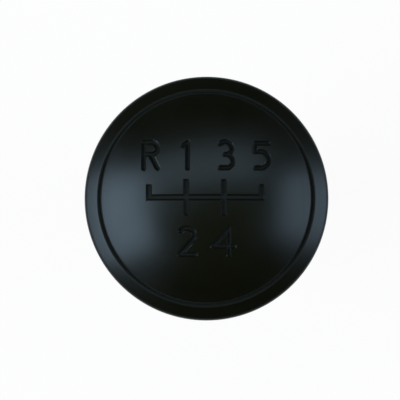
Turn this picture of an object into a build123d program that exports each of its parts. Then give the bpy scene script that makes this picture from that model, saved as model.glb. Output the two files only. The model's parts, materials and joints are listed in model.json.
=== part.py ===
"""Gear shift knob: a moulded body, a snap-in cap that carries the shift gate, and a brass insert.

Millimetres, +Z up along the knob's axis, origin at the centre of the neck's flat lower face.
Seen from above, +Y is forward in the car and the gate's bar runs along X.
"""

import os
from math import acos, asin, atan2, cos, degrees, hypot, radians, sin, sqrt, tan

from build123d import *

# Outer form of the knob
knob_height = 68.0
head_diameter = 50.0
dome_radius = 45.0
rim_edge_radius = 1.2
flank_radius = 36.0
throat_radius = 30.0
neck_draft = 1.4
base_edge_radius = 0.8

# Brass insert with the tapping bore for the lever's M12 x 1.5 thread
thread_bore_diameter = 10.5
thread_lead_chamfer = 0.8
insert_across_flats = 17.0
insert_length = 26.0
insert_corner_chamfer = 1.0
insert_waist_wall = 2.3
insert_waist_length = 8.0

# Neck around the insert
neck_wall = 2.5
insert_recess = 3.0
lever_mouth_diameter = 14.5
lever_mouth_chamfer = 0.8
core_hole_diameter = 10.0

# Shell of the head, open at the top
head_wall = 3.2
bowl_floor_wall = 5.0

# Cap, and the seat in the head that it drops into
rim_width = 3.35
cap_clearance = 0.05
groove_lip_radius = 0.8
groove_lip_turn = 56.0
seat_depth = 3.5
ledge_width = 2.65
cap_wall = 2.2
cap_skirt_width = 1.9

# Snap hooks under the cap, and the pockets in the head that catch them
hook_count = 4
hook_width = 6.0
hook_thickness = 1.6
hook_gap = 0.6
barb_reach = 1.2
barb_flat = 0.5
barb_height = 2.4
catch_lip = 2.5
catch_play = 0.1
pocket_side_play = 0.5
pocket_back_play = 0.6
pocket_lower_play = 0.6

# Key under the cap that sets its direction
key_direction = 270.0
key_width = 3.0
key_thickness = 1.2
key_height = 1.2
key_play = 0.15

# Shift gate engraved in the dome: two long columns between two short ones
gate_pitch = 7.6
gate_line_width = 0.9
gate_depth = 0.5
gate_lip_chamfer = 0.2
gate_corner_radius = 0.1
long_column_reach = 3.5
short_column_reach = 2.5

# Radii that follow from the sizes above
head_r = head_diameter / 2
bore_r = thread_bore_diameter / 2
insert_corner_r = insert_across_flats / 2 / cos(radians(30))
neck_r = insert_corner_r + neck_wall
seat_r = head_r - rim_width
cap_r = seat_r - cap_clearance
skirt_r = cap_r - cap_skirt_width
mouth_r = seat_r - ledge_width
dome_under_radius = dome_radius - cap_wall

# Foot of the groove's lips: how far from the dome's centre, and by what angle from where the lip leaves the dome
lip_rise = dome_radius - groove_lip_radius + groove_lip_radius * cos(radians(groove_lip_turn))
lip_run = groove_lip_radius * sin(radians(groove_lip_turn))
lip_foot = hypot(lip_rise, lip_run)
lip_angle = degrees(atan2(lip_run, lip_rise))

# Angles at which the dome and the flank give way to the next curve
rim_tilt = degrees(asin((head_r - rim_edge_radius) / (dome_radius - rim_edge_radius)))
seat_tilt = degrees(asin(seat_r / lip_foot)) + lip_angle
cap_tilt = degrees(asin(cap_r / lip_foot)) - lip_angle
under_tilt = degrees(asin(skirt_r / dome_under_radius))
flank_turn = degrees(acos(1 - (head_r - neck_r) / (flank_radius + throat_radius)))

# Heights that follow from the sizes above
insert_top = insert_recess + insert_length
bowl_floor = insert_top + bowl_floor_wall
dome_centre = knob_height - dome_radius
equator = dome_centre + (dome_radius - rim_edge_radius) * cos(radians(rim_tilt))
seat_lip = dome_centre + sqrt(lip_foot**2 - seat_r**2)
ledge = dome_centre + sqrt(dome_radius**2 - cap_r**2) - seat_depth
catch = ledge - catch_lip
barb_top = catch - catch_play

# Places of the hooks: evenly round the axis, with the key midway between two of them
first_hook_angle = key_direction + 180 / hook_count
hook_out = mouth_r - hook_gap
hook_in = hook_out - hook_thickness
hook_top = dome_centre + sqrt(dome_under_radius**2 - hook_in**2) + cap_wall / 2


# Insert blank: hexagon bar, turned at its ends and at the waist that the plastic locks into
with BuildPart() as insert_blank:
    with BuildSketch(Plane.XY.offset(insert_recess)):
        RegularPolygon(insert_across_flats / 2, side_count=6, major_radius=False)
    extrude(amount=insert_length)
    with BuildSketch(Plane.XZ):
        with BuildLine():
            waist_r = bore_r + insert_waist_wall
            waist_low = insert_recess + (insert_length - insert_waist_length) / 2
            waist_high = waist_low + insert_waist_length
            Polyline(
                (0, insert_recess),
                (insert_corner_r - insert_corner_chamfer, insert_recess),
                (insert_corner_r, insert_recess + insert_corner_chamfer),
                (insert_corner_r, waist_low),
                (waist_r, waist_low),
                (waist_r, waist_high),
                (insert_corner_r, waist_high),
                (insert_corner_r, insert_top - insert_corner_chamfer),
                (insert_corner_r - insert_corner_chamfer, insert_top),
                (0, insert_top),
                close=True,
            )
        make_face()
    revolve(axis=Axis.Z, mode=Mode.INTERSECT)


# Threaded insert: the blank, bored through and chamfered for the lever's end
with BuildPart() as threaded_insert:
    add(insert_blank.part)
    Hole(bore_r)
    bore_rims = threaded_insert.edges(Select.LAST).filter_by(GeomType.CIRCLE)
    chamfer(bore_rims, thread_lead_chamfer)
threaded_insert.part.label = "threaded_insert"


# Knob body: one moulding, with the neck round the insert and an open bowl in the head
with BuildPart() as knob_body:
    with BuildSketch(Plane.XZ):
        with BuildLine():
            seat_floor = Line((0, ledge), (seat_r, ledge))
            seat_wall = Line(seat_floor @ 1, (seat_r, seat_lip))
            lip_start = (1, tan(radians(groove_lip_turn - seat_tilt)))
            rim_lip = JernArc(seat_wall @ 1, lip_start, groove_lip_radius, -groove_lip_turn)
            rim_band = JernArc(rim_lip @ 1, rim_lip % 1, dome_radius, seat_tilt - rim_tilt)
            rim_edge = JernArc(rim_band @ 1, rim_band % 1, rim_edge_radius, rim_tilt - 90)
            flank = JernArc(rim_edge @ 1, rim_edge % 1, flank_radius, -flank_turn)
            throat = JernArc(flank @ 1, flank % 1, throat_radius, flank_turn + neck_draft)
            neck_foot_r = (throat @ 1).X + (throat @ 1).Y * tan(radians(neck_draft))
            neck = Line(throat @ 1, (neck_foot_r, 0))
            base = Line(neck @ 1, (0, 0))
            Line(base @ 1, seat_floor @ 0)
        make_face()
    revolve(axis=Axis.Z)
    base_rim = knob_body.faces().sort_by(Axis.Z)[0].edges()
    fillet(base_rim, base_edge_radius)

    # Bowl: straight below the ledge, then an even wall inside the flank, down to a flat floor
    with BuildSketch(Plane.XZ):
        with Locations((0, bowl_floor)):
            Rectangle(mouth_r, ledge - bowl_floor, align=Align.MIN)
        with Locations((head_r - flank_radius, equator)):
            Circle(flank_radius - head_wall, mode=Mode.INTERSECT)
    revolve(axis=Axis.Z, mode=Mode.SUBTRACT)

    # Pockets under the ledge, where the hooks catch
    with PolarLocations(0, hook_count, first_hook_angle):
        with Locations((hook_in, 0, catch)):
            Box(
                hook_thickness + barb_reach + pocket_back_play,
                hook_width + 2 * pocket_side_play,
                barb_height + catch_play + pocket_lower_play,
                align=(Align.MIN, Align.CENTER, Align.MAX),
                mode=Mode.SUBTRACT,
            )

    # Notch in the ledge for the cap's key
    with PolarLocations(0, 1, key_direction):
        with Locations((hook_in, 0, ledge)):
            Box(
                skirt_r - hook_in + key_thickness + key_play,
                key_width + 2 * key_play,
                key_height + key_play,
                align=(Align.MIN, Align.CENTER, Align.MAX),
                mode=Mode.SUBTRACT,
            )

    # Room for the insert, the core pin's hole into the bowl and the lever's mouth below
    add(insert_blank.part, mode=Mode.SUBTRACT)
    with Locations((0, 0, insert_top)):
        Cylinder(
            core_hole_diameter / 2,
            ledge - insert_top,
            align=(Align.CENTER, Align.CENTER, Align.MIN),
            mode=Mode.SUBTRACT,
        )
    Cylinder(
        lever_mouth_diameter / 2,
        insert_recess,
        align=(Align.CENTER, Align.CENTER, Align.MIN),
        mode=Mode.SUBTRACT,
    )
    mouth_rim = knob_body.faces().sort_by(Axis.Z)[0].inner_wires().edges()
    chamfer(mouth_rim, lever_mouth_chamfer)
knob_body.part.label = "knob_body"


# Hook: a straight leg with a barb that faces outwards
with BuildPart() as hook:
    with BuildSketch(Plane.XZ):
        with BuildLine():
            Polyline(
                (hook_in, hook_top),
                (hook_out, hook_top),
                (hook_out, barb_top),
                (hook_out + barb_reach, barb_top),
                (hook_out + barb_reach, barb_top - barb_flat),
                (hook_out, barb_top - barb_height),
                (hook_in, barb_top - barb_height),
                close=True,
            )
        make_face()
    extrude(amount=hook_width / 2, both=True)


# Gate cutter: the gate's plan, drawn straight up and left open above a ball, so its depth is even
with BuildPart() as gate_cutter:
    with BuildSketch(Plane.XY.offset(dome_centre)) as gate_plan:
        Rectangle(3 * gate_pitch + gate_line_width, gate_line_width)
        with GridLocations(gate_pitch, 0, 2, 1):
            Rectangle(gate_line_width, 2 * long_column_reach)
        with GridLocations(3 * gate_pitch, 0, 2, 1):
            with Locations((0, -gate_line_width / 2)):
                Rectangle(
                    gate_line_width,
                    short_column_reach + gate_line_width / 2,
                    align=(Align.CENTER, Align.MIN),
                )
        fillet(gate_plan.vertices(), gate_corner_radius + gate_lip_chamfer)
    extrude(amount=dome_radius + gate_depth)
    with Locations((0, 0, dome_centre)):
        Sphere(dome_radius - gate_depth, mode=Mode.SUBTRACT)


# Pattern cap: a domed shell that stands on the ledge by its skirt, with hooks, a key and the gate
with BuildPart() as pattern_cap:
    with BuildSketch(Plane.XZ):
        with BuildLine():
            crown = JernArc((0, knob_height), (1, 0), dome_radius, -cap_tilt)
            cap_lip = JernArc(crown @ 1, crown % 1, groove_lip_radius, -groove_lip_turn)
            cap_side = Line(cap_lip @ 1, (cap_r, ledge))
            skirt_foot = Line(cap_side @ 1, (skirt_r, ledge))
            dome_under = CenterArc((0, dome_centre), dome_under_radius, 90, -under_tilt)
            Line(skirt_foot @ 1, dome_under @ 1)
            Line(dome_under @ 0, crown @ 0)
        make_face()
    revolve(axis=Axis.Z)
    with PolarLocations(0, hook_count, first_hook_angle):
        add(hook.part)
    with PolarLocations(0, 1, key_direction):
        with Locations((skirt_r, 0, ledge)):
            Box(key_thickness, key_width, key_height, align=(Align.MIN, Align.CENTER, Align.MAX))
    add(gate_cutter.part, mode=Mode.SUBTRACT)
    gate_walls = pattern_cap.faces(Select.LAST).filter_by(GeomType.SPHERE, reverse=True)
    dome = pattern_cap.faces().sort_by(SortBy.AREA)[-1]
    gate_lip = dome.edges() & gate_walls.edges()
    chamfer(gate_lip, gate_lip_chamfer)
pattern_cap.part.label = "pattern_cap"


os.makedirs("parts", exist_ok=True)
for piece in (knob_body, pattern_cap, threaded_insert):
    export_step(piece.part, f"parts/{piece.part.label}.step")
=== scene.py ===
"""Gear shift knob: a satin black body, a domed cap with the shift gate engraved in it, and a brass insert.

Laid out as an add-on and run as a script. Metres, in the frame of the packed solids: +Z up along the knob's
axis, +Y forward in the car, so the gate's bar runs along X.
"""

import json
from types import SimpleNamespace

import bpy
import numpy as np
from bpy.props import FloatProperty, FloatVectorProperty, IntProperty, PointerProperty
from bpy.types import Operator, Panel, PropertyGroup
from mathutils import Matrix, Vector


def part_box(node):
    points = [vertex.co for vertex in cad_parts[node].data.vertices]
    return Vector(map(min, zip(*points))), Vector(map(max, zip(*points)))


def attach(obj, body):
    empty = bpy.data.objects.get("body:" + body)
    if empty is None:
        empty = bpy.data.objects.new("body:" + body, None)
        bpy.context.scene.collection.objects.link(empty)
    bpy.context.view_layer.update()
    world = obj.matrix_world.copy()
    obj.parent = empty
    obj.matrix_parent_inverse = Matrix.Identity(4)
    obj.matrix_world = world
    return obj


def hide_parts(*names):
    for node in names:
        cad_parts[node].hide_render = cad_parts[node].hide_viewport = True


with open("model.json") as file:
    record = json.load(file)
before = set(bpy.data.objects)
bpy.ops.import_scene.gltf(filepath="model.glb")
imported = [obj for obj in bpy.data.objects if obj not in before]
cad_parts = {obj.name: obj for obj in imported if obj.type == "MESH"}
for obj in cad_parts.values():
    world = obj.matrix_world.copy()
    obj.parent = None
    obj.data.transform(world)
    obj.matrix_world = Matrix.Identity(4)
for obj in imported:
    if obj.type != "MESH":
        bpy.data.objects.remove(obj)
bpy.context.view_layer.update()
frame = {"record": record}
BODY_LOW, BODY_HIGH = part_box("knob_body")
CAP_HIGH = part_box("pattern_cap")[1]
INSERT_LOW, INSERT_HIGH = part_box("threaded_insert")
LEVER_THREAD = next(mount for mount in frame["record"]["mounts"] if mount["name"] == "lever_thread")
MM = 0.001

bl_info = {
    "name": "Gear Shift Knob",
    "version": (1, 0, 0),
    "blender": (4, 5, 0),
    "location": "View3D > Sidebar > Shift Knob",
    "description": "Dresses the packed solids of a gear shift knob and sets it in a small studio",
    "category": "Add Mesh",
}

# Fineness of the meshes: points on each round stretch of a section, and rows or columns elsewhere
ARC_POINTS = {"bowl": 16, "lip": 10, "band": 10, "rim": 14, "flank": 34, "throat": 34, "foot": 8}
CHAMFER_POINTS = 5
POCKET_COLUMNS = 15
NOTCH_COLUMNS = 7
RING_ROWS = 10
UNDER_ROWS = 6
FLOOR_ROWS = 9
FLOOR_COLUMNS = 96

# Points closer than this become one, and faces that meet at more than this make a sharp edge
WELD_GRAIN = 1.0e-8
SHARP_ANGLE = np.radians(35.0)

# Least distance of an even column from a recess, as a share of the columns' step
COLUMN_ROOM = 0.15

# Least distance of an even grid line from the close ones at the gate's walls, in edge cells
EDGE_ROOM = 1.5

# Most that a point leaves its grid line, as a share of the nearer cell, and the step that finds its way
POINT_REACH = 0.4
PROBE_STEP = 0.0001 * MM

# Share of the thread's slope that is cut off at its crest and at its root
THREAD_FLAT = 0.1


# Sizes and colours that a user would change

def length(name, default, description):
    """A size in metres."""
    return FloatProperty(
        name=name, description=description, default=default, min=0.0, precision=5, unit="LENGTH"
    )


def angle(name, default, description):
    """An angle, given in degrees and kept in radians."""
    return FloatProperty(name=name, description=description, default=np.radians(default), unit="ROTATION")


def amount(name, default, description):
    """A plain number, such as a share or a brightness."""
    return FloatProperty(name=name, description=description, default=default, min=0.0, precision=3)


def count(name, default, description):
    """A whole number of rows, columns or copies."""
    return IntProperty(name=name, description=description, default=default, min=1)


def colour(name, default, description):
    """A linear colour."""
    return FloatVectorProperty(
        name=name, description=description, default=default, min=0.0, max=1.0, size=3, subtype="COLOR"
    )


class KnobForm(PropertyGroup):
    """Outer form of the knob, shared by the body and the cap."""

    knob_height: length("Height", 68.0 * MM, "Height of the dome above the foot of the neck")
    head_diameter: length("Head", 2 * min(BODY_HIGH.x, -BODY_LOW.x), "Width of the head at its widest")
    dome_radius: length("Dome", 45.0 * MM, "Radius of the dome over the head")
    rim_edge_radius: length("Rim edge", 1.2 * MM, "Rounding where the dome turns into the flank")
    flank_radius: length("Flank", 36.0 * MM, "Radius of the round flank below the rim")
    throat_radius: length("Throat", 30.0 * MM, "Radius of the hollow curve from the flank to the neck")
    neck_wall: length("Neck wall", 2.5 * MM, "Plastic outside the insert's corners at the neck's waist")
    neck_draft: angle("Neck draft", 1.4, "Widening of the neck towards its foot")
    base_edge_radius: length("Foot edge", 0.8 * MM, "Rounding at the foot of the neck")
    mouth_diameter: length("Lever mouth", 14.5 * MM, "Plain hole below the insert")
    mouth_chamfer: length("Mouth chamfer", 0.8 * MM, "Chamfer of the lever mouth")
    core_hole_diameter: length("Core hole", 10.0 * MM, "Hole from the insert up into the bowl")
    head_wall: length("Head wall", 3.2 * MM, "Wall of the head inside the flank")
    bowl_floor_wall: length("Bowl floor", 5.0 * MM, "Plastic between the insert and the bowl")
    columns: count("Columns", 288, "Columns of the body's mesh round the axis")


class CapForm(PropertyGroup):
    """The cap, its seat in the body and the hooks and key that hold it."""

    cap_radius: length("Cap radius", CAP_HIGH.x, "Radius of the cap's side")
    clearance: length("Clearance", 0.05 * MM, "Gap between the cap's side and its seat")
    lip_radius: length("Groove lips", 0.8 * MM, "Rounding of both lips of the ring groove")
    lip_turn: angle("Groove turn", 56.0, "How far each lip turns down from the dome")
    ledge_width: length("Ledge", 2.65 * MM, "Width of the ledge that the cap stands on")
    wall: length("Cap wall", 2.2 * MM, "Thickness of the domed wall")
    skirt_width: length("Skirt", 1.9 * MM, "Thickness of the skirt below the dome")
    seat_depth: length("Seat depth", 3.5 * MM, "Depth of the ledge below the dome at the cap's side")
    hook_width: length("Hook width", 6.0 * MM, "Width of a snap hook")
    hook_thickness: length("Hook leg", 1.6 * MM, "Thickness of a hook's leg")
    hook_gap: length("Hook gap", 0.6 * MM, "Gap between a hook's leg and the bowl's mouth")
    barb_reach: length("Barb reach", 1.2 * MM, "How far a barb stands out from its leg")
    barb_flat: length("Barb flat", 0.5 * MM, "Height of the barb's blunt tip")
    barb_height: length("Barb height", 2.4 * MM, "Height of a barb with its slope")
    catch_lip: length("Catch lip", 2.5 * MM, "Plastic between the ledge and the hooks' pockets")
    catch_play: length("Catch play", 0.1 * MM, "Gap above a barb")
    pocket_side_play: length("Pocket side", 0.5 * MM, "Gap at each side of a hook in its pocket")
    pocket_back_play: length("Pocket back", 0.6 * MM, "Extra depth of a pocket behind the barb")
    pocket_lower_play: length("Pocket foot", 0.6 * MM, "Gap below a barb")
    key_width: length("Key width", 3.0 * MM, "Width of the key below the skirt")
    key_thickness: length("Key thickness", 1.2 * MM, "Thickness of the key")
    key_height: length("Key height", 1.2 * MM, "Height of the key")
    key_play: length("Key play", 0.15 * MM, "Gap round the key in its notch")
    hook_count: count("Hooks", 4, "Snap hooks round the cap")
    key_direction: angle("Key direction", 270.0, "Where the key stands, from +X")


class MarkForm(PropertyGroup):
    """The shift gate and the figures engraved in the dome."""

    gate_pitch: length("Gate pitch", 7.6 * MM, "Distance between the gate's columns")
    gate_line_width: length("Gate line", 0.9 * MM, "Width of the gate's lines, halfway down their walls")
    gate_depth: length("Gate depth", 0.5 * MM, "Depth of the gate's lines")
    gate_slope: length("Gate slope", 0.4 * MM, "Width of the gate's sloped walls, seen from above")
    long_reach: length("Long columns", 3.5 * MM, "Reach of the two long columns, both ways from the bar")
    short_reach: length("Short columns", 2.5 * MM, "Reach of the two short columns, forwards only")
    figure_height: length("Figure height", 5.3 * MM, "Height between the middles of a figure's strokes")
    figure_stroke: length("Figure stroke", 0.6 * MM, "Width of the strokes, halfway down their walls")
    figure_depth: length("Figure depth", 0.58 * MM, "Depth of the figures")
    figure_slope: length("Figure slope", 0.44 * MM, "Width of the strokes' sloped walls, seen from above")
    upper_foot: length("Upper figures", 5.9 * MM, "Middle of the upper figures' foot, forwards of the bar")
    lower_foot: length("Lower figures", 11.5 * MM, "Middle of the lower figures' foot, behind the bar")
    field_width: length("Field width", 27.8 * MM, "Width of the fine mesh that holds the marks")
    field_depth: length("Field depth", 25.2 * MM, "Depth of the fine mesh that holds the marks")
    cell: length("Cell", 0.125 * MM, "Size of the fine mesh's cells")
    edge_cell: length("Edge cell", 0.03 * MM, "Size of the cells beside the gate's walls")


class InsertForm(PropertyGroup):
    """The brass insert and its thread."""

    across_flats: length("Across flats", INSERT_HIGH.y - INSERT_LOW.y, "Width of the hexagon bar")
    low: length("Lower face", INSERT_LOW.z, "Height of the insert's lower face")
    high: length("Upper face", INSERT_HIGH.z, "Height of the insert's upper face")
    corner_chamfer: length("Corner chamfer", 1.0 * MM, "Turned chamfer at both ends")
    waist_wall: length("Waist wall", 2.3 * MM, "Brass outside the bore at the waist")
    waist_length: length("Waist length", 8.0 * MM, "Length of the turned waist that the plastic locks into")
    bore_radius: length("Bore", LEVER_THREAD["dims"]["r_mm"] * MM, "Radius of the tapping bore")
    lead_chamfer: length("Lead chamfer", 0.8 * MM, "Chamfer at both ends of the bore")
    thread_pitch: length("Thread pitch", 1.5 * MM, "Pitch of the lever's thread")
    thread_depth: length("Thread depth", 0.75 * MM, "Depth of the thread outside the tapping bore")
    columns: count("Columns", 96, "Columns of the insert's mesh round the axis")
    rows_per_turn: count("Rows per turn", 12, "Rows of the mesh along one turn of the thread")


class KnobFinish(PropertyGroup):
    """Colours and surface of the materials."""

    plastic_colour: colour("Plastic", (0.0036, 0.0034, 0.0006), "Colour of the satin black plastic")
    # Painted reflection colour: the plastic's reflections are real, but their cool blue tint is the colour
    # of cool daylight painted into the plastic
    plastic_painted_reflection_tint: colour("Plastic sheen", (0.66, 0.83, 1.0), "Colour of the plastic's reflections")
    plastic_ior: amount("Plastic gloss", 1.4, "Refractive index of the plastic")
    plastic_roughness: amount("Plastic roughness", 0.31, "Mean roughness of the plastic")
    plastic_spread: amount("Plastic spread", 0.02, "How far the plastic's roughness goes down and up")
    plastic_cloud: length("Plastic clouds", 9.0 * MM, "Size of the clouds in the plastic's sheen")
    plastic_grain: length("Plastic grain", 0.16 * MM, "Size of the mould's fine grain")
    plastic_grain_depth: length("Plastic grain depth", 0.0016 * MM, "Depth of the mould's fine grain")
    mark_roughness: amount("Mark roughness", 0.8, "Roughness on the floors of the marks")
    groove_roughness: amount("Groove roughness", 0.95, "Roughness in the ring groove")
    groove_dull_depth: length("Groove dullness", 0.05 * MM, "Depth at which the groove is fully dull")
    brass_colour: colour("Brass", (0.72, 0.53, 0.25), "Colour of the turned brass")
    brass_roughness: amount("Brass roughness", 0.28, "Mean roughness of the brass")
    brass_spread: amount("Brass spread", 0.07, "How far the brass's roughness goes down and up")
    brass_cloud: length("Brass clouds", 2.5 * MM, "Size of the clouds in the brass's sheen")
    brass_grain: length("Brass grain", 0.05 * MM, "Size of the brass's fine grain")
    brass_grain_depth: length("Brass grain depth", 0.001 * MM, "Depth of the brass's fine grain")
    turning_pitch: length("Turning lines", 0.879646 * MM, "Distance between the tool's lines on the brass")
    turning_depth: length("Turning depth", 0.004 * MM, "Depth of the tool's lines on the brass")
    turning_wander: amount("Turning wander", 0.6, "Wander of the tool's lines, in radians of their wave")
    floor_colour: colour("Floor", (0.9, 0.9, 0.9), "Colour of the pale floor")


class StudioForm(PropertyGroup):
    """Camera, lamps and floor."""

    camera_distance: length("Camera distance", 450.0 * MM, "From the camera to the head's widest level")
    picture_width: length("Picture width", 81.95 * MM, "Width of the picture at the head's widest level")
    picture_right: length("Picture right", 1.29 * MM, "How far right of the middle the knob stands")
    picture_up: length("Picture up", 0.32 * MM, "How far above the middle the knob stands")
    lean_right: angle("Lean right", 2.0, "How far the camera leans from the axis towards +X")
    lean_back: angle("Lean back", 1.7, "How far the camera leans from the axis towards -Y")
    lamp_distance: length("Lamp distance", 550.0 * MM, "From the lamps to the head's widest level")
    left_brightness: amount("Left lamp", 4.3, "Brightness of the softbox on the left")
    right_brightness: amount("Right lamp", 2.55, "Brightness of the softbox on the right")
    upper_brightness: amount("Upper lamp", 1.5, "Brightness of the strip above the forward side")
    lamp_colour: colour("Lamp colour", (0.84, 0.94, 1.0), "Colour of the lamps")
    horizon_brightness: amount("Horizon", 0.8, "Brightness of the pale band round the horizon")
    ceiling_brightness: amount("Ceiling", 0.12, "Brightness of the dim ceiling straight above")
    ceiling_colour: colour("Ceiling colour", (1.0, 1.0, 0.4), "Colour of the dim ceiling")
    floor_radius: length("Floor radius", 1.6, "Radius of the floor")


# Grids and meshes

def arc(stretch, centre, radius, start, end):
    """Points of a round stretch in the (r, z) plane: the centre plus the radius times (cos a, sin a),
    with the angle a running in even steps from start to end."""
    a = np.linspace(start, end, ARC_POINTS[stretch])
    return np.column_stack((centre[0] + radius * np.cos(a), centre[1] + radius * np.sin(a)))


def round_angles(number):
    """Angles of even columns all round the axis: a full turn times 0, 1, 2 and so on over their number."""
    return np.arange(number) * 2 * np.pi / number


def turn_from(theta, direction):
    """How far angles are turned from a direction, between minus and plus half a turn."""
    return (theta - direction + np.pi) % (2 * np.pi) - np.pi


def turned(along, across, height, direction):
    """Points given along and across a direction that is turned about the axis by t, as (x, y, z): x is
    along times cos t less across times sin t, and y is along times sin t plus across times cos t."""
    x = along * np.cos(direction) - across * np.sin(direction)
    y = along * np.sin(direction) + across * np.cos(direction)
    return np.stack(np.broadcast_arrays(x, y, height), axis=-1)


def grid_faces(rows, columns, first=0, round_axis=True, close_rows=False):
    """Corner numbers of the quads of a grid stored row by row. Seen from outside, rows run on and columns
    turn to the right, so the quads face outwards. The last column joins the first where the grid goes
    round the axis."""
    low = np.arange(rows if close_rows else rows - 1)[:, None]
    left = np.arange(columns if round_axis else columns - 1)[None, :]
    next_row = (low + 1) % rows
    next_column = (left + 1) % columns
    corners = (
        low * columns + left,
        next_row * columns + left,
        next_row * columns + next_column,
        low * columns + next_column,
    )
    return first + np.stack(np.broadcast_arrays(*corners), axis=-1)


def weld(points, quads, ends=()):
    """Points that coincide become one, a quad with a side of no length becomes a triangle, and a quad of
    no width goes. Gives the points and the faces that are left, with the ends as faces of as many corners
    as they have."""
    numbers = np.round(points.reshape(-1, 3) / WELD_GRAIN).astype(np.int64)
    places, group = np.unique(numbers, axis=0, return_inverse=True)
    group = group.reshape(-1)
    corners = group[quads.reshape(-1, 4)]
    kept = corners != np.roll(corners, -1, axis=1)
    sides = kept.sum(axis=1)
    triangles = corners[sides == 3][kept[sides == 3]].reshape(-1, 3)
    faces = corners[sides == 4].tolist() + triangles.tolist() + [group[end].tolist() for end in ends]
    return places * WELD_GRAIN, faces


def add_mesh(name, points, faces, material):
    """A mesh object at the origin."""
    mesh = bpy.data.meshes.new(name)
    mesh.from_pydata(points, [], faces)
    mesh.materials.append(material)
    made = bpy.data.objects.new(name, mesh)
    bpy.context.scene.collection.objects.link(made)
    return made


def add_piece(name, points, faces, node, material):
    """A smooth mesh with sharp edges that stands for a CAD node."""
    piece = add_mesh(name, points, faces, material)
    piece.data.validate()
    piece.data.shade_smooth()
    piece.data.set_sharp_from_angle(angle=SHARP_ANGLE)
    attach(piece, "root")
    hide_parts(node)


# Levels and radii that the pieces share

def knob_levels(scene):
    """Radii, heights and angles that follow from the sizes."""
    form, cap, insert = scene.knob_form, scene.knob_cap, scene.knob_insert
    knob = SimpleNamespace()
    knob.head_r = form.head_diameter / 2
    knob.dome_centre = form.knob_height - form.dome_radius
    rim_rise = form.dome_radius - form.rim_edge_radius
    knob.rim_tilt = np.arcsin((knob.head_r - form.rim_edge_radius) / rim_rise)
    knob.equator = knob.dome_centre + rim_rise * np.cos(knob.rim_tilt)
    knob.corner_r = insert.across_flats / 2 / np.cos(np.pi / 6)
    neck_r = knob.corner_r + form.neck_wall
    knob.flank_turn = np.arccos(1 - (knob.head_r - neck_r) / (form.flank_radius + form.throat_radius))

    knob.cap_r = cap.cap_radius
    knob.seat_r = knob.cap_r + cap.clearance
    knob.skirt_r = knob.cap_r - cap.skirt_width
    knob.mouth_r = knob.seat_r - cap.ledge_width
    knob.lip_centre = form.dome_radius - cap.lip_radius
    lip_rise = knob.lip_centre + cap.lip_radius * np.cos(cap.lip_turn)
    lip_run = cap.lip_radius * np.sin(cap.lip_turn)
    lip_foot = np.hypot(lip_rise, lip_run)
    knob.seat_tilt = np.arcsin(knob.seat_r / lip_foot) + np.arctan2(lip_run, lip_rise)
    knob.cap_tilt = np.arcsin(knob.cap_r / lip_foot) - np.arctan2(lip_run, lip_rise)
    knob.ledge = knob.dome_centre + np.sqrt(form.dome_radius**2 - knob.cap_r**2) - cap.seat_depth
    knob.under_radius = form.dome_radius - cap.wall

    knob.hook_half = cap.hook_width / 2
    knob.hook_out = knob.mouth_r - cap.hook_gap
    knob.hook_in = knob.hook_out - cap.hook_thickness
    knob.barb_out = knob.hook_out + cap.barb_reach
    knob.catch = knob.ledge - cap.catch_lip
    knob.barb_top = knob.catch - cap.catch_play
    knob.barb_low = knob.barb_top - cap.barb_height
    knob.pocket_half = knob.hook_half + cap.pocket_side_play
    knob.pocket_back = knob.barb_out + cap.pocket_back_play
    knob.hook_angles = cap.key_direction + (np.arange(cap.hook_count) + 0.5) * 2 * np.pi / cap.hook_count

    knob.key_half = cap.key_width / 2
    knob.key_out = knob.skirt_r + cap.key_thickness
    knob.notch_half = knob.key_half + cap.key_play
    knob.notch_back = knob.key_out + cap.key_play
    knob.bowl_floor = insert.high + form.bowl_floor_wall
    return knob


def groove_lip(tilt, start, end, cap, knob):
    """A lip of the ring groove as (radius, height): an arc that leaves the dome where the dome's tilt is
    as given, from the tilt start to the tilt end."""
    centre = (knob.lip_centre * np.sin(tilt), knob.dome_centre + knob.lip_centre * np.cos(tilt))
    return arc("lip", centre, cap.lip_radius, np.pi / 2 - start, np.pi / 2 - end)


def insert_outline(insert, knob):
    """Turned radius and height of the insert's outside from its lower to its upper face: a chamfer, the
    hexagon's corners, the waist, the corners again and a chamfer."""
    middle = (insert.low + insert.high) / 2
    waist_low = middle - insert.waist_length / 2
    waist_high = middle + insert.waist_length / 2
    waist_r = insert.bore_radius + insert.waist_wall
    corner_r = knob.corner_r
    slope = np.linspace(0.0, insert.corner_chamfer, CHAMFER_POINTS)
    lower = np.column_stack((corner_r - insert.corner_chamfer + slope, insert.low + slope))
    waist = [(corner_r, waist_low), (waist_r, waist_low), (waist_r, waist_high), (corner_r, waist_high)]
    upper = np.column_stack((corner_r - slope, insert.high - insert.corner_chamfer + slope))
    return np.vstack((lower, waist, upper))


def hexagon(theta, insert):
    """Distance from the axis to the hexagon's flats: half the width over the cosine of the angle from the
    nearest flat's middle, with corners at 0, 60, 120 degrees and so on."""
    from_flat = theta % (np.pi / 3) - np.pi / 6
    return insert.across_flats / 2 / np.cos(from_flat)


# Body: one closed section carried round the axis

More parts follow.
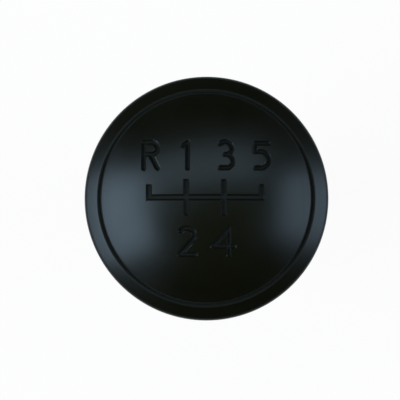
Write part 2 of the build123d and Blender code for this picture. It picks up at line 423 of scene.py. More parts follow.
def body_section(scene, knob):
    """The body's section as rows of (radius, height): up the lever mouth, round the insert, up the core
    hole, the bowl and the seat, over the rim and down the flank, the throat and the neck. Also gives the
    row at which each named stretch begins."""
    form, cap, insert = scene.knob_form, scene.knob_cap, scene.knob_insert
    mouth_r, chamfer = form.mouth_diameter / 2, form.mouth_chamfer
    core_r = form.core_hole_diameter / 2
    bowl_mouth = knob.mouth_r
    flank_centre = np.array((knob.head_r - form.flank_radius, knob.equator))
    bowl_radius = form.flank_radius - form.head_wall
    bowl_start = -np.arcsin((knob.equator - knob.bowl_floor) / bowl_radius)
    bowl_end = -np.arccos((bowl_mouth - flank_centre[0]) / bowl_radius)
    pocket_low = knob.barb_low - cap.pocket_lower_play
    notch_low = knob.ledge - cap.key_height - cap.key_play
    notch_corner = np.hypot(knob.notch_back, knob.notch_half)
    rim = form.rim_edge_radius
    rim_centre = (knob.head_r - rim, knob.equator)
    band_start, rim_start = np.pi / 2 - knob.seat_tilt, np.pi / 2 - knob.rim_tilt
    draft = form.neck_draft
    away = np.array((np.cos(knob.flank_turn), -np.sin(knob.flank_turn)))
    throat_centre = flank_centre + (form.flank_radius + form.throat_radius) * away
    throat_start, throat_end = np.pi - knob.flank_turn, np.pi + draft
    neck_top = throat_centre - form.throat_radius * np.array((np.cos(draft), np.sin(draft)))
    foot_r = neck_top[0] + neck_top[1] * np.tan(draft)
    edge = form.base_edge_radius
    edge_centre = (foot_r - edge * np.tan(draft) - edge / np.cos(draft), edge)
    stretches = {
        "mouth": [(mouth_r + chamfer, 0.0), (mouth_r, chamfer), (mouth_r, insert.low)],
        "cavity": insert_outline(insert, knob),
        "core": [(core_r, insert.high), (core_r, knob.bowl_floor)],
        "bowl": arc("bowl", flank_centre, bowl_radius, bowl_start, bowl_end),
        "pocket": [(bowl_mouth, height) for height in (pocket_low, pocket_low, knob.catch, knob.catch)],
        "notch": [(bowl_mouth, notch_low), (bowl_mouth, knob.ledge), (notch_corner, knob.ledge)],
        "seat": [(knob.seat_r, knob.ledge)],
        "lip": groove_lip(knob.seat_tilt, knob.seat_tilt - cap.lip_turn, knob.seat_tilt, cap, knob),
        "band": arc("band", (0.0, knob.dome_centre), form.dome_radius, band_start, rim_start)[1:],
        "rim": arc("rim", rim_centre, rim, rim_start, 0.0)[1:],
        "flank": arc("flank", flank_centre, form.flank_radius, 0.0, -knob.flank_turn)[1:],
        "throat": arc("throat", throat_centre, form.throat_radius, throat_start, throat_end)[1:],
        "foot": arc("foot", edge_centre, edge, draft, -np.pi / 2),
    }
    starts = dict(zip(stretches, np.cumsum([0] + [len(rows) for rows in stretches.values()])))
    return np.vstack(list(stretches.values())), starts


def body_columns(scene, knob):
    """Angles of the body's columns. Even all round, but across each pocket and the notch the columns
    stand at even offsets, with a second column at both sides for the side walls. Gives the angles, the
    number of the recess that each column crosses or -1, its offset there, and whether it lies inside the
    recess."""
    recesses = [(direction, knob.pocket_half, POCKET_COLUMNS) for direction in knob.hook_angles]
    recesses.append((scene.knob_cap.key_direction, knob.notch_half, NOTCH_COLUMNS))
    plain = round_angles(scene.knob_form.columns)
    free = np.ones(len(plain), bool)
    parts = []
    for owner, (direction, half, number) in enumerate(recesses):
        room = np.arcsin(half / knob.mouth_r) + COLUMN_ROOM * plain[1]
        free &= np.abs(turn_from(plain, direction)) > room
        offset = np.concatenate(([-half], np.linspace(-half, half, number), [half]))
        theta = (direction + np.arcsin(offset / knob.mouth_r)) % (2 * np.pi)
        parts.append((theta, np.full(len(offset), owner), offset, np.pad(np.ones(number, bool), 1)))
    none = np.zeros(free.sum(), int)
    parts.append((plain[free], none - 1, none, none.astype(bool)))
    theta, owner, offset, inner = (np.concatenate(part) for part in zip(*parts))
    order = np.lexsort((offset, theta))
    return theta[order], owner[order], offset[order], inner[order]


def body_mesh(scene, knob):
    """Every row of the section turned to every column's angle: (r cos t, r sin t, z). Round the insert r
    is the smaller of the turned radius and the hexagon. In the pockets and the notch the rows move to
    their flat backs."""
    key_direction = scene.knob_cap.key_direction
    section, starts = body_section(scene, knob)
    theta, owner, offset, inner = body_columns(scene, knob)
    radius = np.repeat(section[:, :1], len(theta), axis=1)
    cavity = slice(starts["cavity"], starts["core"])
    radius[cavity] = np.minimum(radius[cavity], hexagon(theta, scene.knob_insert))
    points = turned(radius, 0.0, section[:, 1:], theta)

    # The middle two of a pocket's four rows are its flat back
    back_rows = starts["pocket"] + np.array((1, 2))
    for number, direction in enumerate(knob.hook_angles):
        pocket = (owner == number) & inner
        for row in back_rows:
            points[row, pocket] = turned(knob.pocket_back, offset[pocket], section[row, 1], direction)
    notch = owner == len(knob.hook_angles)
    floor = notch & inner
    low, step, back = starts["notch"] + np.arange(3)
    points[step, floor] = turned(knob.notch_back, offset[floor], section[low, 1], key_direction)
    points[back, notch] = turned(knob.notch_back, offset[notch], knob.ledge, key_direction)
    return weld(points, grid_faces(len(section), len(theta), close_rows=True))


# Marks: distances to strokes, on the cap's plan

def line_distance(x, y, start, end):
    """Distance to a straight stroke: to the nearest point of the line from start to end."""
    dx, dy = end[0] - start[0], end[1] - start[1]
    along = np.clip(((x - start[0]) * dx + (y - start[1]) * dy) / (dx * dx + dy * dy), 0.0, 1.0)
    return np.hypot(x - start[0] - along * dx, y - start[1] - along * dy)


def arc_distance(x, y, centre, radius, start, end):
    """Distance to a round stroke that turns left from the angle start to end, in degrees: beside the arc
    it is the distance from its circle, and elsewhere the distance from its nearer end."""
    dx, dy = x - centre[0], y - centre[1]
    beside = (np.degrees(np.arctan2(dy, dx)) - start) % 360 <= end - start
    tips = [(radius * np.cos(a), radius * np.sin(a)) for a in np.radians((start, end))]
    from_tips = np.minimum.reduce([np.hypot(dx - tip[0], dy - tip[1]) for tip in tips])
    return np.where(beside, np.abs(np.hypot(dx, dy) - radius), from_tips)


def box_distance(x, y, low, high):
    """Distance outside the edge of a rectangle, negative inside it."""
    over_x = np.abs(x - (low[0] + high[0]) / 2) - (high[0] - low[0]) / 2
    over_y = np.abs(y - (low[1] + high[1]) / 2) - (high[1] - low[1]) / 2
    outside = np.hypot(np.maximum(over_x, 0.0), np.maximum(over_y, 0.0))
    return outside + np.minimum(np.maximum(over_x, over_y), 0.0)


# The gate's columns, in pitches from its middle
LONG_COLUMNS = (-0.5, 0.5)
SHORT_COLUMNS = (-1.5, 1.5)

# Strokes of the figures, drawn one high with the foot at 0
FIGURE_STROKES = {
    "R": (
        (line_distance, (-0.29, 0.0), (-0.29, 1.0)),
        (line_distance, (-0.29, 1.0), (0.0, 1.0)),
        (arc_distance, (0.0, 0.766), 0.234, -90, 90),
        (line_distance, (-0.29, 0.532), (0.0, 0.532)),
        (line_distance, (-0.02, 0.532), (0.25, 0.0)),
    ),
    "1": (
        (line_distance, (0.0, 0.0), (0.0, 1.0)),
        (line_distance, (0.0, 1.0), (-0.17, 0.87)),
    ),
    "2": (
        (arc_distance, (-0.03, 0.72), 0.28, -40, 145),
        (line_distance, (0.185, 0.54), (-0.315, 0.0)),
        (line_distance, (-0.315, 0.0), (0.285, 0.0)),
    ),
    "3": (
        (arc_distance, (-0.06, 0.765), 0.245, -90, 137),
        (arc_distance, (-0.03, 0.26), 0.26, -90, 90),
        (line_distance, (-0.03, 0.0), (-0.24, 0.0)),
    ),
    "4": (
        (line_distance, (0.195, 0.0), (0.195, 1.0)),
        (line_distance, (0.195, 1.0), (-0.415, 0.32)),
        (line_distance, (-0.415, 0.32), (0.39, 0.32)),
    ),
    "5": (
        (line_distance, (-0.24, 0.96), (0.245, 0.96)),
        (line_distance, (-0.24, 0.96), (-0.24, 0.64)),
        (line_distance, (-0.24, 0.64), (-0.055, 0.64)),
        (arc_distance, (-0.055, 0.32), 0.32, -90, 90),
        (line_distance, (-0.055, 0.0), (-0.23, 0.0)),
    ),
}

# Each figure's column of the gate in pitches, its row, and how far right of the column it stands
FIGURE_PLACES = {
    "R": (-1.5, "upper", 0.42 * MM),
    "1": (-0.5, "upper", 0.24 * MM),
    "2": (-0.5, "lower", 0.23 * MM),
    "3": (0.5, "upper", 0.54 * MM),
    "4": (0.5, "lower", -0.06 * MM),
    "5": (1.5, "upper", -0.04 * MM),
}


def gate_distance(x, y, marks):
    """Distance outside the gate's lines: a bar, two long columns across it and two short ones forwards of
    it."""
    half, pitch = marks.gate_line_width / 2, marks.gate_pitch
    boxes = [((SHORT_COLUMNS[0] * pitch - half, -half), (SHORT_COLUMNS[1] * pitch + half, half))]
    for columns, back, front in (
        (LONG_COLUMNS, -marks.long_reach, marks.long_reach),
        (SHORT_COLUMNS, -half, marks.short_reach),
    ):
        boxes += [((column * pitch - half, back), (column * pitch + half, front)) for column in columns]
    return np.minimum.reduce([box_distance(x, y, low, high) for low, high in boxes])


def figure_distance(x, y, marks):
    """Distance outside the figures' strokes: from the nearest stroke, scaled to the figures' height, less
    half of the strokes' width."""
    feet = {"upper": marks.upper_foot, "lower": -marks.lower_foot}
    height = marks.figure_height
    found = []
    for figure, (column, row, shift) in FIGURE_PLACES.items():
        across = (x - (column * marks.gate_pitch + shift)) / height
        up = (y - feet[row]) / height
        found += [distance(across, up, *sizes) * height for distance, *sizes in FIGURE_STROKES[figure]]
    return np.minimum.reduce(found) - marks.figure_stroke / 2


def mark_depth(x, y, marks):
    """Depth of the engraving: nothing outside a stroke, full on its floor, and an even slope across its
    wall."""
    gate = np.clip(0.5 - gate_distance(x, y, marks) / marks.gate_slope, 0.0, 1.0)
    figures = np.clip(0.5 - figure_distance(x, y, marks) / marks.figure_slope, 0.0, 1.0)
    return np.maximum(gate * marks.gate_depth, figures * marks.figure_depth)


def drawn_to(x, y, distance, reach_x, reach_y):
    """Points near the line where a distance is nil, moved onto it: each goes by its distance in the
    direction in which the distance falls fastest, if that stays within its reach both ways."""
    away = distance(x, y)
    move_x = away * (distance(x + PROBE_STEP, y) - distance(x - PROBE_STEP, y)) / (2 * PROBE_STEP)
    move_y = away * (distance(x, y + PROBE_STEP) - distance(x, y - PROBE_STEP)) / (2 * PROBE_STEP)
    near = (np.abs(move_x) < reach_x) & (np.abs(move_y) < reach_y)
    return x - np.where(near, move_x, 0.0), y - np.where(near, move_y, 0.0)


def line_reach(lines):
    """How far a point may leave its grid line: a share of the distance to the nearer neighbour."""
    gaps = np.diff(lines)
    return POINT_REACH * np.minimum(np.append(gaps, gaps[-1]), np.insert(gaps, 0, gaps[0]))


def field_lines(width, walls, marks):
    """Grid lines across the field: even ones, and three close together at both edges of each of the
    gate's walls, where the even ones give way."""
    even = np.linspace(-width / 2, width / 2, int(round(width / marks.cell)) + 1)
    close = np.add.outer(walls, marks.edge_cell * np.array((-1.0, 0.0, 1.0))).ravel()
    free = np.abs(even[:, None] - close).min(axis=1) > EDGE_ROOM * marks.edge_cell
    return np.sort(np.concatenate((even[free], close)))


# Cap: a fine field with the marks, rings out to the edge, and the underside with its hooks and key

def dome_height(x, y, depth, scene, knob):
    """Height of the dome at a place of the plan, lowered by a depth: a ball smaller by that depth."""
    return knob.dome_centre + np.sqrt((scene.knob_form.dome_radius - depth) ** 2 - x**2 - y**2)


def under_height(radius, knob):
    """Height of the cap's underside at a distance from the axis: a ball smaller by the cap's wall."""
    return knob.dome_centre + np.sqrt(knob.under_radius**2 - radius**2)


def mark_field(scene, knob):
    """The fine field: a grid over the plan, raised to the dome and lowered by the marks. Its points near
    the edges of the figures' walls are drawn to them. Also gives the field's border, turning left from
    its corner at +X -Y."""
    marks = scene.knob_marks
    half, slope = marks.gate_line_width / 2, marks.gate_slope / 2
    sides = np.array((half - slope, half + slope, slope - half, -half - slope))
    ends = np.array((-marks.long_reach, marks.long_reach, marks.short_reach))
    columns = marks.gate_pitch * np.array(LONG_COLUMNS + SHORT_COLUMNS)
    xs = field_lines(marks.field_width, np.add.outer(columns, sides).ravel(), marks)
    ys = field_lines(marks.field_depth, np.concatenate((sides, ends - slope, ends + slope)), marks)
    x, y = np.meshgrid(xs, ys, indexing="ij")
    reach_x, reach_y = np.meshgrid(line_reach(xs), line_reach(ys), indexing="ij")
    for level in (marks.figure_slope / 2, -marks.figure_slope / 2):
        x, y = drawn_to(x, y, lambda u, v: figure_distance(u, v, marks) - level, reach_x, reach_y)
    field = np.stack((x, y, dome_height(x, y, mark_depth(x, y, marks), scene, knob)), axis=-1)
    border = np.concatenate((field[-1, :-1], field[:0:-1, -1], field[0, :0:-1], field[:-1, 0]))
    return field, border


def hook_profile(cap, knob):
    """A hook's section as (distance from the axis, height), from its root outside the leg, round the barb
    and up to its root inside. The roots' heights are left at 0, because the underside gives them."""
    return np.array([
        (knob.hook_out, 0.0),
        (knob.hook_out, knob.barb_top),
        (knob.barb_out, knob.barb_top),
        (knob.barb_out, knob.barb_top - cap.barb_flat),
        (knob.hook_out, knob.barb_low),
        (knob.hook_in, knob.barb_low),
        (knob.hook_in, 0.0),
    ])


def key_profile(cap, knob):
    """The key's section in the same way, from its root outside, down and up to its root inside."""
    low = knob.ledge - cap.key_height
    return np.array([
        (knob.key_out, knob.ledge),
        (knob.key_out, low),
        (knob.skirt_r, low),
        (knob.skirt_r, knob.ledge),
    ])


def cap_rows(border, theta, scene, knob):
    """Rows round the axis from the field's border: straight in the plan to the dome's edge, which is the
    border times what is left of a share plus the edge times the share, then over the edge, down the side,
    in along the foot, up the skirt and in along the underside to the axis. Also gives the rows of the
    key's and hooks' roots."""
    cap = scene.knob_cap
    edge_r = scene.knob_form.dome_radius * np.sin(knob.cap_tilt)
    share = np.linspace(0.0, 1.0, RING_ROWS)[:, None]
    x = border[:, 0] * (1 - share) + edge_r * np.cos(theta) * share
    y = border[:, 1] * (1 - share) + edge_r * np.sin(theta) * share
    rings = np.stack((x, y, dome_height(x, y, 0.0, scene, knob)), axis=-1)

    lip = groove_lip(knob.cap_tilt, knob.cap_tilt, knob.cap_tilt + cap.lip_turn, cap, knob)[1:]
    key_roots = [np.hypot(radius, knob.key_half) for radius in (knob.key_out, knob.skirt_r)]
    hook_roots = [np.hypot(radius, knob.hook_half) for radius in (knob.hook_out, knob.hook_in)]
    foot = [(radius, knob.ledge) for radius in (knob.cap_r, *key_roots, knob.skirt_r)]
    under = np.concatenate(([knob.skirt_r, hook_roots[0]], np.linspace(hook_roots[1], 0.0, UNDER_ROWS)))
    lower = np.vstack((lip, foot, np.column_stack((under, under_height(under, knob)))))
    rows = np.concatenate((rings, turned(lower[:, :1], 0.0, lower[:, 1:], theta)))
    return rows, len(rings) + len(lip) + 1, len(rows) - len(under) + 1


def cap_mesh(scene, knob):
    """The field and the rows round it, with the hooks and the key: strips of their sections carried
    straight across, which take the place of the rows' faces between their roots and have their two ends
    closed."""
    cap = scene.knob_cap
    field, border = mark_field(scene, knob)
    theta = np.arctan2(border[:, 1], border[:, 0])
    rows, key_row, hook_row = cap_rows(border, theta, scene, knob)
    hook, key = hook_profile(cap, knob), key_profile(cap, knob)
    strips = [(direction, knob.hook_half, hook_row, hook) for direction in knob.hook_angles]
    strips.append((cap.key_direction, knob.key_half, key_row, key))
    kept = np.ones((len(rows) - 1, len(theta)), bool)
    rows_first = field.shape[0] * field.shape[1]
    first = rows_first + rows.shape[0] * rows.shape[1]
    grids, ends = [field, rows], []
    quads = [grid_faces(*field.shape[:2], round_axis=False)]
    for direction, half, row, profile in strips:
        away = turn_from(theta, direction)
        hit = np.flatnonzero(np.abs(away) <= np.arctan2(half, profile[-1, 0]))
        hit = hit[np.argsort(away[hit])]
        strip = turned(profile[:, :1], np.linspace(-half, half, len(hit)), profile[:, 1:], direction)
        if row == hook_row:
            for root in (0, -1):
                strip[root, :, 2] = under_height(np.hypot(strip[root, :, 0], strip[root, :, 1]), knob)
        rows[row, hit] = strip[0]
        rows[row + 1, hit] = strip[-1]
        kept[row, hit[:-1]] = False
        numbers = first + np.arange(strip.shape[0] * strip.shape[1]).reshape(strip.shape[:2])
        grids.append(strip)
        quads.append(grid_faces(*strip.shape[:2], first, round_axis=False))
        ends += [numbers[:, -1], numbers[::-1, 0]]
        first += numbers.size
    quads.append(grid_faces(*rows.shape[:2], rows_first)[kept])
    points = np.concatenate([grid.reshape(-1, 3) for grid in grids])
    return weld(points, np.concatenate([part.reshape(-1, 4) for part in quads]), ends)


# Insert: a hexagon bar with a helical thread

def insert_mesh(scene, knob):
    """Rows round the axis: up the thread, out along the upper face, down the outside and in along the
    lower face. The thread's radius is the bore's plus its depth times a blunted triangle wave of height
    over pitch less angle over a full turn, or the lead chamfer's cone where that is wider."""
    insert = scene.knob_insert
    theta = round_angles(insert.columns)
    turns = (insert.high - insert.low) / insert.thread_pitch
    height = np.linspace(insert.low, insert.high, int(turns * insert.rows_per_turn) + 1)[:, None]
    phase = (height / insert.thread_pitch - theta / (2 * np.pi)) % 1.0
    wave = np.clip((np.abs(2 * phase - 1) - THREAD_FLAT) / (1 - 2 * THREAD_FLAT), 0.0, 1.0)
    from_end = np.minimum(height - insert.low, insert.high - height)
    thread = np.maximum(insert.thread_depth * wave, insert.lead_chamfer - from_end)
    outline = insert_outline(insert, knob)[::-1]
    outside = np.minimum(outline[:, :1], hexagon(theta, insert))
    radius = np.concatenate((insert.bore_radius + thread, outside))
    levels = np.concatenate((height, outline[:, 1:]))
    return weld(turned(radius, 0.0, levels, theta), grid_faces(len(levels), len(theta), close_rows=True))


# Materials

WHITE = (1.0, 1.0, 1.0)

# Room for each node in the row of its editor
NODE_STEP = 220.0

# Values that the clouds' noise keeps to, and the share of a colour that they take away or add
CLOUD_RANGE = (0.3, 0.7)
TINT_SPREAD = 0.1

# Radians that Blender's wave texture turns by in one unit
WAVE_TURN = 20.0

# Distances from the axis between which mirrored rays lose the white floor, and the share of white in it
FLOOR_FADE = (50.0 * MM, 160.0 * MM)
FLOOR_WHITE = 0.94


def rgba(tint, share=1.0):
    """A colour for a socket: a share of a tint."""
    return (*(share * part for part in tint), 1.0)


def empty_tree(owner):
    """The node tree of a new material or world, with nothing in it."""
    owner.use_nodes = True
    owner.node_tree.nodes.clear()
    return owner.node_tree


def add_node(tree, kind, inputs=None, **settings):
    """A node of a kind, to the right of those before it, with its settings. Each input takes a value, or a
    link from an output."""
    node = tree.nodes.new(kind)
    node.location.x = NODE_STEP * len(tree.nodes)
    for key, value in settings.items():
        setattr(node, key, value)
    for socket, value in (inputs or {}).items():
        if isinstance(value, bpy.types.NodeSocket):
            tree.links.new(value, node.inputs[socket])
        else:
            node.inputs[socket].default_value = value
    return node


def worked_out(tree, operation, *terms, vectors=False):
    """The output of a Math or Vector Math node that works on values or on other outputs."""
    kind = "ShaderNodeVectorMath" if vectors else "ShaderNodeMath"
    node = add_node(tree, kind, dict(enumerate(terms)), operation=operation)
    return next(output for output in node.outputs if output.enabled)


def mapped(tree, value, low, high, start, end, **settings):
    """The output of a Map Range node: start where the value is low, and end where it is high."""
    inputs = {"Value": value, "From Min": low, "From Max": high, "To Min": start, "To Max": end}
    return add_node(tree, "ShaderNodeMapRange", inputs, **settings).outputs["Result"]


def mixed(tree, data_type, factor, first, second):
    """The output of a Mix node: the first where the factor is 0, and the second where it is 1."""
    inputs = {"Factor": factor, "A": first, "B": second}
    return add_node(tree, "ShaderNodeMix", inputs, data_type=data_type).outputs["Result"]


def mixed_shaders(tree, factor, first, second):
    """A Mix Shader node: the first shader where the factor is 0, and the second where it is 1."""
    inputs = {"Fac": factor, 1: first.outputs[0], 2: second.outputs[0]}
    return add_node(tree, "ShaderNodeMixShader", inputs)


def new_group(name, vectors, numbers, results):
    """A shader node group with vector and number inputs and number outputs. Gives it with what comes in."""
    group = bpy.data.node_groups.new(name, "ShaderNodeTree")
    for kind, side, sockets in (
        ("NodeSocketVector", "INPUT", vectors),
        ("NodeSocketFloat", "INPUT", numbers),
        ("NodeSocketFloat", "OUTPUT", results),
    ):
        for socket in sockets:
            group.interface.new_socket(socket, in_out=side, socket_type=kind)
    return group, add_node(group, "NodeGroupInput").outputs


def mould_grain(name):
    """Shared effect of a moulded surface: a fine grain as a height, and slow clouds, both from 0 to 1."""
    group, given = new_group(name, ("Vector",), ("Grain scale", "Cloud scale"), ("Height", "Clouds"))
    grain = add_node(group, "ShaderNodeTexNoise", {
        "Vector": given["Vector"], "Scale": given["Grain scale"], "Detail": 3.0, "Roughness": 0.6,
    })
    clouds = add_node(group, "ShaderNodeTexNoise", {
        "Vector": given["Vector"], "Scale": given["Cloud scale"], "Detail": 2.0, "Distortion": 0.4,
    })
    results = {"Height": grain.outputs["Fac"], "Clouds": clouds.outputs["Fac"]}
    add_node(group, "NodeGroupOutput", results)
    return group


def recess_mask(name):
    """Shared effect of the moulded recesses: 0 on the dome, rising to 1 at the full depth below it. It is 0
    again below the last depth, and further from the ring's radius than the reach."""
    numbers = ("Dome radius", "Full depth", "Last depth", "Ring radius", "Reach")
    group, given = new_group(name, ("Vector", "Dome middle"), numbers, ("Mask",))
    vector, radius, reach = given["Vector"], given["Ring radius"], given["Reach"]
    from_middle = worked_out(group, "DISTANCE", vector, given["Dome middle"], vectors=True)
    depth = worked_out(group, "SUBTRACT", given["Dome radius"], from_middle)
    rising = mapped(group, depth, 0.0, given["Full depth"], 0.0, 1.0)
    shallow = worked_out(group, "LESS_THAN", depth, given["Last depth"])
    plan = worked_out(group, "MULTIPLY", vector, (1.0, 1.0, 0.0), vectors=True)
    from_axis = worked_out(group, "LENGTH", plan, vectors=True)
    beside = worked_out(group, "COMPARE", from_axis, radius, reach)
    inside = worked_out(group, "MULTIPLY", shallow, beside)
    mask = worked_out(group, "MULTIPLY", rising, inside)
    add_node(group, "NodeGroupOutput", {"Mask": mask})
    return group


def add_effect(tree, make, name, inputs):
    """The outputs of a shared effect in a material, with its own inputs. The first call makes the group."""
    group = bpy.data.node_groups.get(name) or make(name)
    return add_node(tree, "ShaderNodeGroup", inputs, node_tree=group).outputs


def grained(name, tint, roughness, spread, cloud_size, grain_size, grain_depth):
    """A material with the mould's grain as bump, and clouds that vary its tint and its roughness a little.
    Gives the material with the nodes and outputs that others build on."""
    material = bpy.data.materials.new(name)
    tree = empty_tree(material)
    place = add_node(tree, "ShaderNodeTexCoord").outputs["Object"]
    grain = add_effect(tree, mould_grain, "mould grain", {
        "Vector": place, "Grain scale": 1.0 / grain_size, "Cloud scale": 1.0 / cloud_size,
    })
    clouds = grain["Clouds"]
    sheen = mapped(tree, clouds, *CLOUD_RANGE, roughness - spread, roughness + spread)
    darker, lighter = rgba(tint, 1 - TINT_SPREAD), rgba(tint, 1 + TINT_SPREAD)
    bump = add_node(tree, "ShaderNodeBump", {
        "Height": grain["Height"], "Strength": 1.0, "Distance": grain_depth,
    })
    shader = add_node(tree, "ShaderNodeBsdfPrincipled", {
        "Base Color": mixed(tree, "RGBA", clouds, darker, lighter),
        "Roughness": sheen,
        "Normal": bump.outputs["Normal"],
    })
    add_node(tree, "ShaderNodeOutputMaterial", {"Surface": shader.outputs["BSDF"]})
    return SimpleNamespace(material=material, tree=tree, shader=shader, place=place, sheen=sheen, bump=bump)


def groove_recess(scene, knob):
    """The ring groove: its radius, its reach, the depth that is fully dull and the roughness there."""
    finish = scene.knob_finish
    reach = knob.head_r - scene.knob_form.rim_edge_radius - knob.cap_r
    return knob.cap_r, reach, finish.groove_dull_depth, finish.groove_roughness


def mark_recess(scene):
    """The marks round the axis, in the same order: radius, reach, full depth and roughness."""
    marks = scene.knob_marks
    reach = np.hypot(marks.field_width, marks.field_depth) / 2
    return 0.0, reach, marks.gate_depth, scene.knob_finish.mark_roughness


def plastic_material(name, scene, knob, recesses):
    """Satin black plastic with a fine mould grain, dull in the recesses, with a cool blue tint of the light
    painted into its reflections.
    """
    finish = scene.knob_finish
    made = grained(
        name, finish.plastic_colour, finish.plastic_roughness, finish.plastic_spread, finish.plastic_cloud,
        finish.plastic_grain, finish.plastic_grain_depth,
    )
    made.shader.inputs["IOR"].default_value = finish.plastic_ior
    # Painted reflection colour: a cool blue tint of the light, laid on the plastic's real reflections
    made.shader.inputs["Specular Tint"].default_value = rgba(finish.plastic_painted_reflection_tint)
    roughness = made.sheen
    for ring_radius, reach, full_depth, dull_roughness in recesses:
        recess = add_effect(made.tree, recess_mask, "recess mask", {
            "Vector": made.place,
            "Dome middle": (0.0, 0.0, knob.dome_centre),
            "Dome radius": scene.knob_form.dome_radius,
            "Full depth": full_depth,
            "Last depth": scene.knob_cap.wall / 2,
            "Ring radius": ring_radius,
            "Reach": reach,
        })
        roughness = mixed(made.tree, "FLOAT", recess["Mask"], roughness, dull_roughness)
    made.tree.links.new(roughness, made.shader.inputs["Roughness"])
    return made.material


def brass_material(name, finish):
    """Turned brass: fine rings about the axis that the tool left, and a slightly clouded sheen."""
    made = grained(
        name, finish.brass_colour, finish.brass_roughness, finish.brass_spread, finish.brass_cloud,
        finish.brass_grain, finish.brass_grain_depth,
    )
    made.shader.inputs["Metallic"].default_value = 1.0
    rings = add_node(made.tree, "ShaderNodeTexWave", {
        "Vector": made.place,
        "Scale": 2 * np.pi / finish.turning_pitch / WAVE_TURN,
        "Distortion": finish.turning_wander,
    }, wave_type="RINGS", rings_direction="Z")
    lines = add_node(made.tree, "ShaderNodeBump", {
        "Height": rings.outputs["Fac"], "Distance": finish.turning_depth,
    })
    made.tree.links.new(lines.outputs["Normal"], made.bump.inputs["Normal"])
    return made.material


def floor_material(finish):
    """Pale floor. Most of what the camera sees, and what mirrored rays find near the knob, is plain white,
    and the rest is lit, so that the shadow stays. Seen from below it is clear."""
    material = bpy.data.materials.new("studio_floor")
    tree = empty_tree(material)
    place = add_node(tree, "ShaderNodeTexCoord").outputs["Object"]
    away = worked_out(tree, "LENGTH", place, vectors=True)
    near = mapped(tree, away, *FLOOR_FADE, 1.0, 0.0, interpolation_type="SMOOTHSTEP")
    path = add_node(tree, "ShaderNodeLightPath").outputs
    mirrored = worked_out(tree, "MAXIMUM", path["Is Glossy Ray"], path["Is Transmission Ray"])
    mirrored_near = worked_out(tree, "MULTIPLY", mirrored, near)
    seen = worked_out(tree, "MAXIMUM", path["Is Camera Ray"], mirrored_near)
    share = worked_out(tree, "MULTIPLY", seen, FLOOR_WHITE)
    lit = add_node(tree, "ShaderNodeBsdfDiffuse", {"Color": rgba(finish.floor_colour)})
    white = add_node(tree, "ShaderNodeEmission", {"Color": rgba(WHITE)})
    floor = mixed_shaders(tree, share, lit, white)
    clear = add_node(tree, "ShaderNodeBsdfTransparent")
    side = add_node(tree, "ShaderNodeNewGeometry").outputs["Backfacing"]
    one_sided = mixed_shaders(tree, side, floor, clear)
    add_node(tree, "ShaderNodeOutputMaterial", {"Surface": one_sided.outputs["Shader"]})
    return material


# Studio

# Degrees above the horizon between which the pale band fades out and the ceiling comes in
HORIZON_FADE = (2.0, 10.0)
CEILING_RISE = (40.0, 85.0)

# Each lamp's name, the field of its brightness, its azimuth and its angle off the zenith in degrees, and
# its width and height in metres
LAMPS = (
    ("left softbox", "left_brightness", 189.0, 52.5, 0.42, 0.36),
    ("right softbox", "right_brightness", 357.0, 60.0, 0.34, 0.4),
    ("upper strip", "upper_brightness", 97.0, 19.0, 0.7, 0.2),
)

# Watts of a lamp of one square metre at a brightness of 1
LAMP_POWER = 4.0

# Nearest and furthest that the camera sees
CAMERA_REACH = (0.01, 10.0)


def studio_world(studio):
    """A pale band round the horizon and a dim warm ceiling, by the height of the direction looked in. The
    camera, and what is seen through glass, finds plain white instead."""
    world = bpy.data.worlds.new("studio")
    bpy.context.scene.world = world
    tree = empty_tree(world)
    direction = add_node(tree, "ShaderNodeTexCoord").outputs["Generated"]
    height = add_node(tree, "ShaderNodeSeparateXYZ", {0: direction}).outputs["Z"]
    parts = []
    for tint, heights, start, end in (
        (WHITE, HORIZON_FADE, studio.horizon_brightness, 0.0),
        (studio.ceiling_colour, CEILING_RISE, 0.0, studio.ceiling_brightness),
    ):
        low, high = np.sin(np.radians(heights))
        level = mapped(tree, height, low, high, start, end, interpolation_type="SMOOTHSTEP")
        part = add_node(tree, "ShaderNodeBackground", {"Color": rgba(tint), "Strength": level})
        parts.append(part.outputs["Background"])
    lit = add_node(tree, "ShaderNodeAddShader", dict(enumerate(parts)))
    white = add_node(tree, "ShaderNodeBackground", {"Color": rgba(WHITE)})
    path = add_node(tree, "ShaderNodeLightPath").outputs
    seen = worked_out(tree, "MAXIMUM", path["Is Camera Ray"], path["Is Transmission Ray"])
    sky = mixed_shaders(tree, seen, lit, white)
    add_node(tree, "ShaderNodeOutputWorld", {"Surface": sky.outputs["Shader"]})


def add_lamp(name, studio, target, azimuth, zenith, width, height, brightness):
    """A soft rectangular lamp that looks at the target from an azimuth and an angle off the zenith. Its
    power is its area times its brightness times the power of a lamp of one square metre."""
    light = bpy.data.lights.new(name, "AREA")
    light.shape = "RECTANGLE"
    light.size, light.size_y = width, height
    light.energy = LAMP_POWER * width * height * brightness
    light.color = studio.lamp_colour
    lamp = bpy.data.objects.new(name, light)
    a, z = np.radians((azimuth, zenith))
    away = Vector((np.sin(z) * np.cos(a), np.sin(z) * np.sin(a), np.cos(z)))
    lamp.location = target + away * studio.lamp_distance
    lamp.rotation_euler = away.to_track_quat("Z", "Y").to_euler()
    lamp.visible_camera = False
    bpy.context.scene.collection.objects.link(lamp)


def add_camera(studio, level):
    """A long lens from nearly straight above, with +Y up in the picture."""
    camera = bpy.data.objects.new("camera", bpy.data.cameras.new("camera"))
    lens = camera.data
    lens.lens = lens.sensor_width * studio.camera_distance / studio.picture_width
    lens.clip_start, lens.clip_end = CAMERA_REACH
    away = Vector((np.tan(studio.lean_right), -np.tan(studio.lean_back), 1.0)).normalized()
    aim = Vector((-studio.picture_right, -studio.picture_up, level))
    right = Vector((0.0, 1.0, 0.0)).cross(away).normalized()
    camera.location = aim + away * studio.camera_distance
    camera.rotation_euler = Matrix((right, away.cross(right), away)).transposed().to_euler()
    bpy.context.scene.collection.objects.link(camera)
    bpy.context.scene.camera = camera


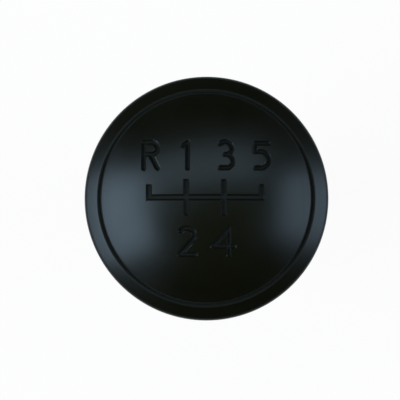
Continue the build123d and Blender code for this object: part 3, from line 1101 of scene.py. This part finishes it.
def add_floor(studio, finish):
    """A flat disc under the knob: rings of points (r cos t, r sin t, 0), joined at the middle."""
    radius = np.linspace(studio.floor_radius, 0.0, FLOOR_ROWS)[:, None]
    points = turned(radius, 0.0, 0.0, round_angles(FLOOR_COLUMNS))
    upwards = grid_faces(FLOOR_ROWS, FLOOR_COLUMNS)[:, :, ::-1]
    floor = add_mesh("floor", *weld(points, upwards), floor_material(finish))


# Operators, panel and registration

class KNOB_OT_body(Operator):
    """Make the moulded body in place of its solid"""

    bl_idname = "knob.body"
    bl_label = "Moulded body"

    def execute(self, context):
        scene = context.scene
        knob = knob_levels(scene)
        points, faces = body_mesh(scene, knob)
        material = plastic_material("body_plastic", scene, knob, [groove_recess(scene, knob)])
        add_piece("moulded_body", points, faces, "knob_body", material)
        return {"FINISHED"}


class KNOB_OT_cap(Operator):
    """Make the engraved cap in place of its solid"""

    bl_idname = "knob.cap"
    bl_label = "Engraved cap"

    def execute(self, context):
        scene = context.scene
        knob = knob_levels(scene)
        points, faces = cap_mesh(scene, knob)
        recesses = [groove_recess(scene, knob), mark_recess(scene)]
        material = plastic_material("cap_plastic", scene, knob, recesses)
        add_piece("engraved_cap", points, faces, "pattern_cap", material)
        return {"FINISHED"}


class KNOB_OT_insert(Operator):
    """Make the threaded brass insert in place of its solid"""

    bl_idname = "knob.insert"
    bl_label = "Brass insert"

    def execute(self, context):
        scene = context.scene
        points, faces = insert_mesh(scene, knob_levels(scene))
        material = brass_material("insert_brass", scene.knob_finish)
        add_piece("brass_insert", points, faces, "threaded_insert", material)
        return {"FINISHED"}


class KNOB_OT_stage(Operator):
    """Make the floor, the lamps, the sky and the camera"""

    bl_idname = "knob.stage"
    bl_label = "Studio"

    def execute(self, context):
        scene = context.scene
        studio = scene.knob_studio
        level = knob_levels(scene).equator
        scene.view_settings.view_transform = "Standard"
        add_floor(studio, scene.knob_finish)
        studio_world(studio)
        for name, brightness, *place in LAMPS:
            add_lamp(name, studio, Vector((0.0, 0.0, level)), *place, getattr(studio, brightness))
        add_camera(studio, level)
        return {"FINISHED"}


class KNOB_PT_sidebar(Panel):
    """The knob's sizes, colours and pieces"""

    bl_idname = "KNOB_PT_sidebar"
    bl_label = "Gear Shift Knob"
    bl_space_type = "VIEW_3D"
    bl_region_type = "UI"
    bl_category = "Shift Knob"

    def draw(self, context):
        for operator in OPERATORS:
            self.layout.operator(operator.bl_idname)
        for name, group in GROUPS.items():
            box = self.layout.box()
            box.label(text=group.__doc__)
            for field in group.__annotations__:
                box.prop(getattr(context.scene, name), field)


GROUPS = {
    "knob_form": KnobForm,
    "knob_cap": CapForm,
    "knob_marks": MarkForm,
    "knob_insert": InsertForm,
    "knob_finish": KnobFinish,
    "knob_studio": StudioForm,
}
OPERATORS = (KNOB_OT_body, KNOB_OT_cap, KNOB_OT_insert, KNOB_OT_stage)
CLASSES = (*GROUPS.values(), *OPERATORS, KNOB_PT_sidebar)


def register():
    for cls in CLASSES:
        bpy.utils.register_class(cls)
    for name, group in GROUPS.items():
        setattr(bpy.types.Scene, name, PointerProperty(type=group))


def unregister():
    for name in GROUPS:
        delattr(bpy.types.Scene, name)
    for cls in reversed(CLASSES):
        bpy.utils.unregister_class(cls)


def main():
    """Make every piece and the studio."""
    register()
    bpy.ops.knob.body()
    bpy.ops.knob.cap()
    bpy.ops.knob.insert()
    bpy.ops.knob.stage()
    bpy.context.view_layer.update()


if __name__ == "__main__":
    main()
